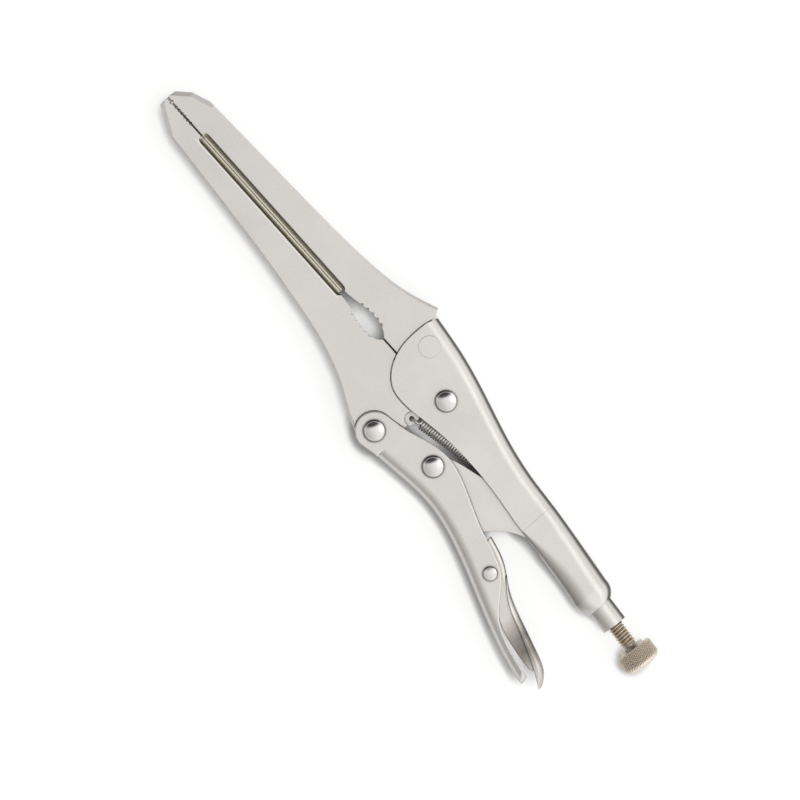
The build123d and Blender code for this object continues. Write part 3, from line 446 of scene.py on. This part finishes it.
def spring_wire():
    """Extension spring with an open hook at each end."""
    wire, coil = 0.9, 2.2
    length, turns = 28.275, 26.5
    bend, reach, tail = 0.95, 0.7, 1.0
    steps, bend_steps, loop_steps = 20, 6, 12
    pitch = length / turns
    hook = coil + reach + bend

    def hook_points(leg_x, side, leg_z):
        """Open hook beyond a leg, from the leg to the hook's free end."""
        loop_x = leg_x + side * reach
        line = [(leg_x, 0.0, leg_z)]
        for step in range(loop_steps + 1):
            turn = math.pi * step / loop_steps
            line.append((loop_x + side * coil * math.sin(turn), 0.0, leg_z * math.cos(turn)))
        line.append((loop_x - side * tail, 0.0, -leg_z))
        return line

    path = list(reversed(hook_points(hook - bend, -1, coil)))
    for step in range(1, bend_steps):
        angle = math.pi / 2 * step / bend_steps
        path.append((hook - bend + bend * math.sin(angle), bend * (1 - math.cos(angle)), coil))
    for step in range(int(turns * steps) + 1):
        angle = 2 * math.pi * step / steps
        path.append((hook + pitch * step / steps, bend + coil * math.sin(angle), coil * math.cos(angle)))
    end_x, end_z = path[-1][0], coil * math.cos(2 * math.pi * turns)
    for step in range(1, bend_steps):
        angle = math.pi / 2 * step / bend_steps
        path.append((end_x + bend * (1 - math.cos(angle)), bend * (1 - math.sin(angle)), end_z))
    path += hook_points(end_x + bend, 1, end_z)
    along = Vector((math.cos(SPRING_SLOPE), math.sin(SPRING_SLOPE), 0.0))
    square = Vector((-math.sin(SPRING_SLOPE), math.cos(SPRING_SLOPE), 0.0))
    front = place(*SPRING_EYE)
    line = [front + (along * x + square * y + Vector((0, 0, z))) * MM for x, y, z in path]
    points, faces = tube(line, wire / 2 * MM)
    piece = mesh_piece("spring_coil", points, faces, SPRING, None)
    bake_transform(piece)
    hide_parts("jaw_spring")


knurled_knob()
spring_wire()


# Stage, light and camera

PHOTO_TURN = math.radians(48.17)
IMAGE_RIGHT = Vector((math.cos(PHOTO_TURN), math.sin(PHOTO_TURN), 0.0))
IMAGE_UP = Vector((-math.sin(PHOTO_TURN), math.cos(PHOTO_TURN), 0.0))


def sky(right, up, lean):
    """Direction that leans from straight up towards a direction of the picture, in degrees."""
    side = (IMAGE_RIGHT * right + IMAGE_UP * up).normalized()
    turn = math.radians(lean)
    return side * math.sin(turn) + Vector((0.0, 0.0, math.cos(turn)))


def floor():
    """Pale floor that glows to camera, glossy and transmission rays; occlusion nodes dim the glow into
    painted shade down a narrow gap and a painted shadow beside walls on the side away from the key.
    """
    bpy.ops.mesh.primitive_plane_add(size=12.0, location=(0.0, 0.0, 0.0))
    plane = bpy.context.object
    plane.name = "floor"
    made = bpy.data.materials.new("floor_white")
    made.use_nodes = True
    tree = made.node_tree
    tree.nodes.clear()
    out = node(tree, "ShaderNodeOutputMaterial")
    matt = node(tree, "ShaderNodeBsdfDiffuse")
    matt.inputs["Color"].default_value = (0.42, 0.42, 0.42, 1.0)
    glow = node(tree, "ShaderNodeEmission")
    path = node(tree, "ShaderNodeLightPath")
    mirrored = math_node(tree, "MAXIMUM", path.outputs["Is Glossy Ray"], path.outputs["Is Transmission Ray"])
    seen = math_node(tree, "MAXIMUM", path.outputs["Is Camera Ray"], mirrored)
    gap = occlusion(tree, 12.0, 24)
    lit = occlusion(tree, 6.0, 20)
    lean = node(tree, "ShaderNodeCombineXYZ")
    for socket, value in zip(lean.inputs, sky(1.0, 0.8, 50.0)):
        socket.default_value = value
    tree.links.new(lean.outputs[0], lit.inputs["Normal"])
    # Glow dimmed by occlusion: painted shade down narrow gaps and a painted shadow beside walls away from
    # the key
    level = product(tree, seen, spread(tree, gap.outputs["AO"], 0.16, 0.30, 0.03, 0.74),
                    spread(tree, lit.outputs["AO"], 0.6, 0.9, 0.12, 1.0))
    tree.links.new(level, glow.inputs["Strength"])
    both = node(tree, "ShaderNodeAddShader")
    tree.links.new(matt.outputs[0], both.inputs[0])
    tree.links.new(glow.outputs[0], both.inputs[1])
    tree.links.new(both.outputs[0], out.inputs["Surface"])
    plane.data.materials.append(made)


def studio():
    """Soft sky: bright on the side that the handle's spine faces, dim on the other, with two dark cards."""
    world = bpy.data.worlds.new("studio")
    bpy.context.scene.world = world
    world.use_nodes = True
    tree = world.node_tree
    back = tree.nodes["Background"]
    look = node(tree, "ShaderNodeTexCoord").outputs["Generated"]

    def towards(direction):
        """How far the view turns to a direction, from -1 to 1."""
        return vector_node(tree, "DOT_PRODUCT", look, direction)

    ramp = node(tree, "ShaderNodeValToRGB")
    stops = ramp.color_ramp.elements
    levels = ((0.0, 0.34), (0.2, 0.60), (0.36, 0.88), (0.5, 1.12), (0.66, 1.32), (0.84, 1.20), (1.0, 0.95))
    stops[0].position, stops[1].position = levels[0][0], levels[-1][0]
    for position, _ in levels[1:-1]:
        stops.new(position)
    for stop, (_, level) in zip(stops, levels):
        stop.color = (level, level * (0.97 + 0.02 * level), level * (0.93 + 0.04 * level), 1.0)
    tree.links.new(spread(tree, towards(sky(0.9, 0.45, 90.0)), -1.0, 1.0, 0.0, 1.0), ramp.inputs["Fac"])
    shade = ramp.outputs["Color"]
    cards = ((sky(-0.3, 1.0, 56.0), 46.0, 36.0, 0.96), (sky(0.17, 1.0, 92.0), 31.0, 20.0, 0.75))
    for direction, outer, inner, strength in cards:
        card = spread(tree, towards(direction), math.cos(math.radians(outer)), math.cos(math.radians(inner)),
                      0.0, strength)
        shade = mixed(tree, card, shade, (0.03, 0.03, 0.03))
    tree.links.new(shade, back.inputs["Color"])
    back.inputs["Strength"].default_value = 1.0


def softbox(name, direction, distance, size, level):
    """Round soft light of a radiance level, aimed at the tool."""
    data = bpy.data.lights.new(name, "AREA")
    data.shape = "DISK"
    data.size = size
    data.energy = level * math.pi * math.pi * size * size / 4
    lamp = bpy.data.objects.new(name, data)
    bpy.context.scene.collection.objects.link(lamp)
    lamp.location = direction * distance
    lamp.rotation_mode = "QUATERNION"
    lamp.rotation_quaternion = direction.to_track_quat("Z", "Y")


def camera():
    """Long lens straight above, turned as the picture is."""
    data = bpy.data.cameras.new("camera")
    made = bpy.data.objects.new("camera", data)
    bpy.context.scene.collection.objects.link(made)
    distance, top_of_tool, picture_width = 2.4, 0.0126, 0.3016
    data.sensor_width = 36.0
    data.lens = data.sensor_width * (distance - top_of_tool) / picture_width
    data.clip_end = 100.0
    middle = place(*PICTURE_MIDDLE)
    made.location = (middle.x, middle.y, distance)
    made.rotation_euler = (0.0, 0.0, PHOTO_TURN)
    bpy.context.scene.camera = made


floor()
studio()
softbox("key", sky(1.0, 0.3, 30.0), distance=1.2, size=0.5, level=1.0)
camera()
bpy.context.scene.view_settings.view_transform = "Standard"
